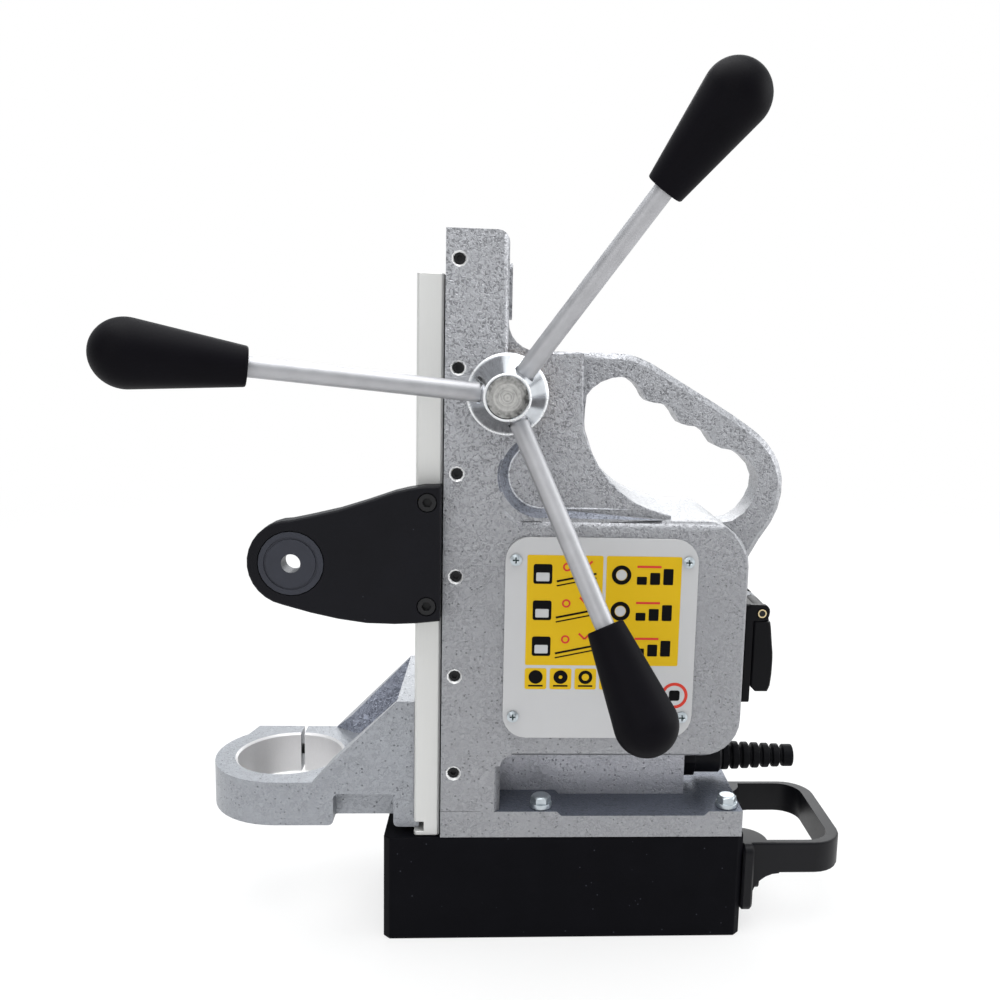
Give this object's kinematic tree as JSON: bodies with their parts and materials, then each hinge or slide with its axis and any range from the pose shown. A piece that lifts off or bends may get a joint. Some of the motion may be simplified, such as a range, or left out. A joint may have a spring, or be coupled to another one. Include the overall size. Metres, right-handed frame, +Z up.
{
  "type": "magnetic drill stand",
  "caption": "Magnetic drill stand: magnet foot, cast column with a carrying handle, rack driven dovetail slide with a motor ring and side arm, and a lever feed hub.",
  "frame": {"origin": "centre of the magnet's bottom face", "axes": "+Z up along the column, +X from the slide towards the rear socket, -Y towards the side with the feed levers"},
  "size_m": [0.312, 0.1557, 0.3728],
  "materials": {
    "casting_paint": "silver-grey hammertone paint with fine dark specks on cast aluminium",
    "black_paint": "satin black paint on steel",
    "aluminium": "brushed aluminium",
    "plate_paint": "light grey satin sheet with a plain two colour panel",
    "zinc_steel": "bright zinc plated steel",
    "black_steel": "blackened steel",
    "satin_steel": "ground steel",
    "polished_steel": "turned and polished steel",
    "black_plastic": "matte black moulded plastic",
    "black_rubber": "black rubber",
    "brass_pin": "plain brass",
    "bronze": "plain bearing bronze",
    "copper": "enamelled copper wire",
    "potting_resin": "brown potting resin",
    "red_plastic": "red translucent plastic"
  },
  "bodies": {
    "frame": {"magnet_body": "black_paint", "magnet_coil": "copper", "magnet_potting": "potting_resin", "frame_casting": "casting_paint", "foot_bolt_1": "zinc_steel", "foot_bolt_2": "zinc_steel", "foot_bolt_3": "zinc_steel", "foot_bolt_4": "zinc_steel", "side_cover_plate": "plate_paint", "side_cover_screw_1": "zinc_steel", "side_cover_screw_2": "zinc_steel", "side_cover_screw_3": "zinc_steel", "side_cover_screw_4": "zinc_steel", "control_panel": "plate_paint", "control_panel_screw_1": "zinc_steel", "control_panel_screw_2": "zinc_steel", "control_panel_screw_3": "zinc_steel", "control_panel_screw_4": "zinc_steel", "magnet_switch_body": "black_plastic", "rectifier_block": "black_plastic", "terminal_block": "black_plastic", "socket_gasket": "black_rubber", "socket_body": "black_plastic", "lid_hinge_pin": "brass_pin", "lid_spring": "satin_steel", "cable_gland": "black_plastic", "strain_relief_boot": "black_rubber", "rear_grip": "black_plastic", "rear_grip_screw_1": "zinc_steel", "rear_grip_screw_2": "zinc_steel", "gib_strip": "bronze", "gib_screw_1": "black_steel", "gib_screw_2": "black_steel", "gib_screw_3": "black_steel", "gib_screw_4": "black_steel", "gib_screw_5": "black_steel", "gib_screw_6": "black_steel", "pinion_bush_near": "bronze", "pinion_bush_far": "bronze"},
    "slide": {"slide_plate": "aluminium", "rack": "satin_steel", "motor_bracket": "casting_paint", "clamp_screw": "black_steel", "side_arm": "black_paint", "arm_bush": "black_paint", "arm_screw_1": "black_steel", "arm_screw_2": "black_steel"},
    "feed": {"pinion_shaft": "satin_steel", "shaft_circlip": "black_steel", "hub_key": "satin_steel", "feed_hub": "polished_steel", "lever_rod_1": "satin_steel", "lever_rod_2": "satin_steel", "lever_rod_3": "satin_steel", "lever_grip_1": "black_plastic", "lever_grip_2": "black_plastic", "lever_grip_3": "black_plastic"},
    "lid": {"socket_lid": "black_plastic"},
    "rocker": {"magnet_switch_rocker": "red_plastic"}
  },
  "joints": [
    {"name": "slide_travel", "type": "slide", "parent": "frame", "child": "slide", "axis": [0, 0, 1], "range_m": [0, 0.1507]},
    {"name": "feed_turn", "type": "hinge", "parent": "frame", "child": "feed", "pos_m": [-0.0305, 0, 0.2489], "axis": [0, 1, 0], "range_deg": [0, 720]},
    {"name": "lid_swing", "type": "hinge", "parent": "frame", "child": "lid", "pos_m": [0.0878, 0, 0.1514], "axis": [0, -1, 0], "range_deg": [0, 100], "stiffness_Nm_per_rad": 0.03, "springref_deg": -34.38},
    {"name": "switch_rock", "type": "hinge", "parent": "frame", "child": "rocker", "pos_m": [0.0122, 0.042, 0.1426], "axis": [-1, 0, 0], "range_deg": [0, 16]}
  ],
  "couplings": [
    {"joint": "feed_turn", "follows": "slide_travel", "rad_per_m": 83.333}
  ]
}
